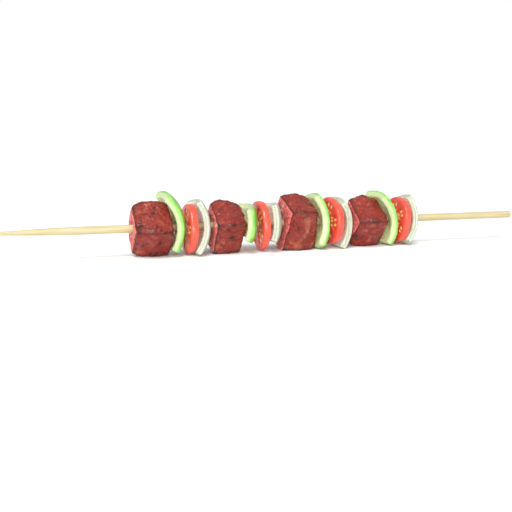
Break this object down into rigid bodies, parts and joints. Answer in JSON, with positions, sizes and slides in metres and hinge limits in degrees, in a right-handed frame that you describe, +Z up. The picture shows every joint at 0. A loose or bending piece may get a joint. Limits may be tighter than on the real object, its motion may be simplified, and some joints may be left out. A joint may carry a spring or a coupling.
{
  "type": "lamb kebab skewer",
  "caption": "Grilled lamb cubes with green pepper, tomato slices and onion petals threaded on a pointed round bamboo stick, for eating by hand.",
  "frame": {"origin": "centre of the bounding box at the ground, under the middle of the stick", "axes": "+X along the stick from its point to its blunt end, +Z up from the surface that the food rests on, +Y across"},
  "size_m": [0.3, 0.0312, 0.0329],
  "materials": {
    "bamboo": "satin",
    "lamb": "satin",
    "green_pepper": "gloss",
    "tomato": "gloss",
    "onion": "satin"
  },
  "bodies": {
    "root": {"bamboo_stick": "bamboo", "lamb_chunk_1": "lamb", "lamb_chunk_2": "lamb", "lamb_chunk_3": "lamb", "lamb_chunk_4": "lamb", "green_pepper_1": "green_pepper", "green_pepper_2": "green_pepper", "green_pepper_3": "green_pepper", "green_pepper_4": "green_pepper", "tomato_slice_1": "tomato", "tomato_slice_2": "tomato", "tomato_slice_3": "tomato", "tomato_slice_4": "tomato", "onion_piece_1": "onion", "onion_piece_2": "onion", "onion_piece_3": "onion", "onion_piece_4": "onion"}
  },
  "joints": []
}
